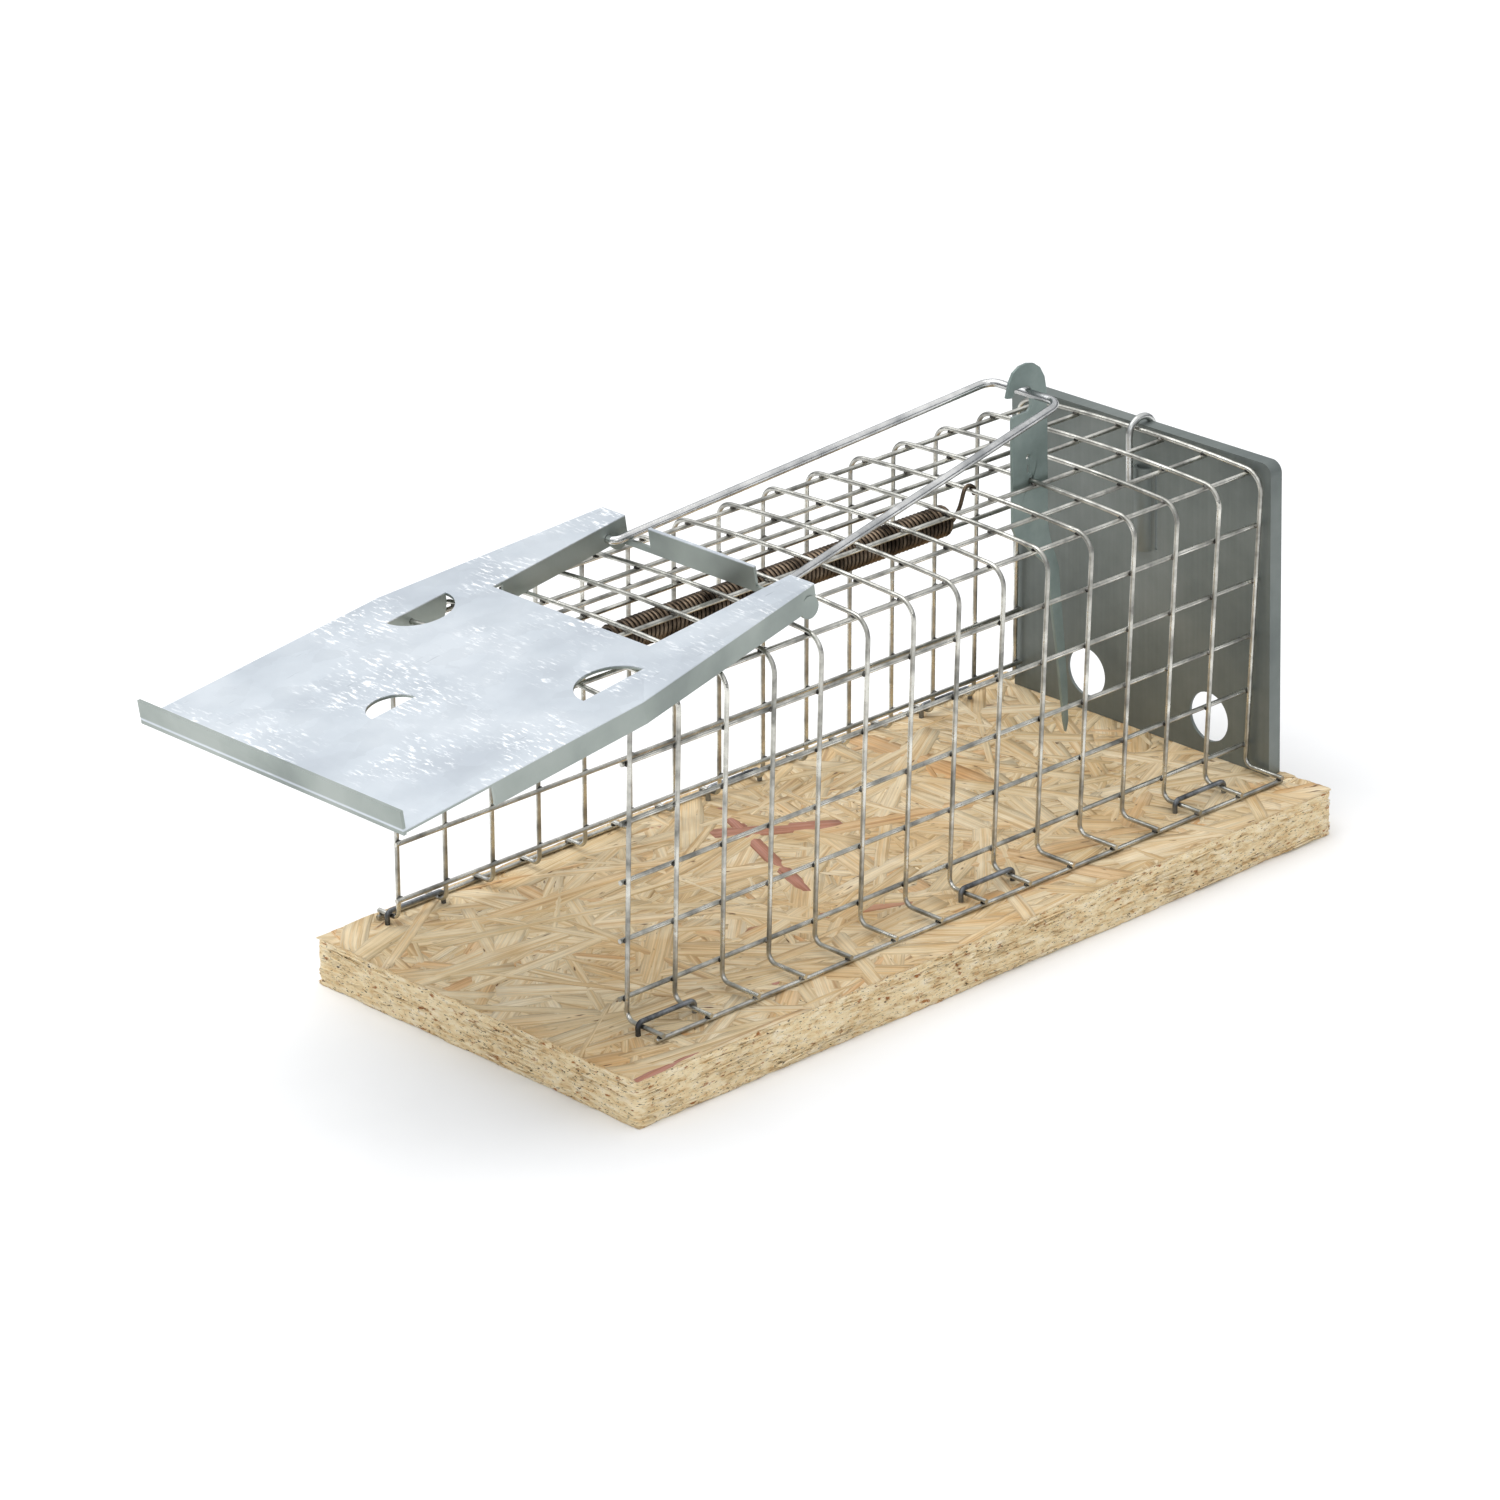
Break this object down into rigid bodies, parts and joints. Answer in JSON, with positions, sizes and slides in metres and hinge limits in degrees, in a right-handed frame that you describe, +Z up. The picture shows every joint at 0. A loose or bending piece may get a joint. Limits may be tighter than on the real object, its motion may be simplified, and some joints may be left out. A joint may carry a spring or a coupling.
{
  "type": "live catch trap",
  "caption": "Welded mesh cage on a wooden base with a spring-closed drop door, wire bail and hanging bait trigger for catching mice alive.",
  "frame": {"origin": "centre of the underside of the wooden base board", "axes": "+Z up, +Y from the door end to the back plate, +X to the right seen from the door"},
  "size_m": [0.099, 0.2453, 0.1064],
  "materials": {
    "board": "raw oriented strand board",
    "mesh_wire": "galvanised welded wire",
    "staple_wire": "dull galvanised",
    "plate_sheet": "galvanised sheet",
    "pin_wire": "bright drawn wire",
    "door_sheet": "galvanised sheet with rub marks",
    "bail_wire": "bright zinc plated",
    "trigger_sheet": "galvanised sheet",
    "spring_wire": "dark oiled spring wire"
  },
  "bodies": {
    "cage": {"back_plate": "plate_sheet", "base_board": "board", "foot_line_left": "mesh_wire", "foot_line_right": "mesh_wire", "hoop_wire_01": "mesh_wire", "hoop_wire_02": "mesh_wire", "hoop_wire_03": "mesh_wire", "hoop_wire_04": "mesh_wire", "hoop_wire_05": "mesh_wire", "hoop_wire_06": "mesh_wire", "hoop_wire_07": "mesh_wire", "hoop_wire_08": "mesh_wire", "hoop_wire_09": "mesh_wire", "hoop_wire_10": "mesh_wire", "hoop_wire_11": "mesh_wire", "hoop_wire_12": "mesh_wire", "hoop_wire_13": "mesh_wire", "hoop_wire_14": "mesh_wire", "hoop_wire_15": "mesh_wire", "plate_pin": "pin_wire", "side_line_left_01": "mesh_wire", "side_line_left_02": "mesh_wire", "side_line_left_03": "mesh_wire", "side_line_left_04": "mesh_wire", "side_line_left_05": "mesh_wire", "side_line_right_01": "mesh_wire", "side_line_right_02": "mesh_wire", "side_line_right_03": "mesh_wire", "side_line_right_04": "mesh_wire", "side_line_right_05": "mesh_wire", "staples_left": "staple_wire", "staples_right": "staple_wire", "top_line_wire_01": "mesh_wire", "top_line_wire_02": "mesh_wire", "top_line_wire_03": "mesh_wire", "top_line_wire_04": "mesh_wire", "top_line_wire_05": "mesh_wire", "top_line_wire_06": "mesh_wire"},
    "door": {"door": "door_sheet"},
    "bail": {"bail": "bail_wire"},
    "trigger": {"trigger_lever": "trigger_sheet"},
    "spring": {"closing_spring": "spring_wire"}
  },
  "joints": [
    {"name": "door_hinge", "type": "hinge", "parent": "cage", "child": "door", "pos_m": [0, -0.08415, 0.07946], "axis": [1, 0, 0], "range_deg": [0, 82], "deforming": ["closing_spring"]},
    {"name": "bail_hinge", "type": "hinge", "parent": "door", "child": "bail", "pos_m": [0, -0.03634, 0.08513], "axis": [1, 0, 0], "range_deg": [0, 165]},
    {"name": "trigger_pivot", "type": "hinge", "parent": "cage", "child": "trigger", "pos_m": [0.0026, 0.05555, 0.0804], "axis": [1, 0, 0], "range_deg": [-7, 0]},
    {"name": "spring_swing", "type": "hinge", "parent": "cage", "child": "spring", "pos_m": [-0.0022, 0.04285, 0.08043], "axis": [1, 0, 0], "range_deg": [0, 12]}
  ],
  "couplings": [
    {"joint": "spring_swing", "follows": "door_hinge", "ratio": 0.135}
  ]
}
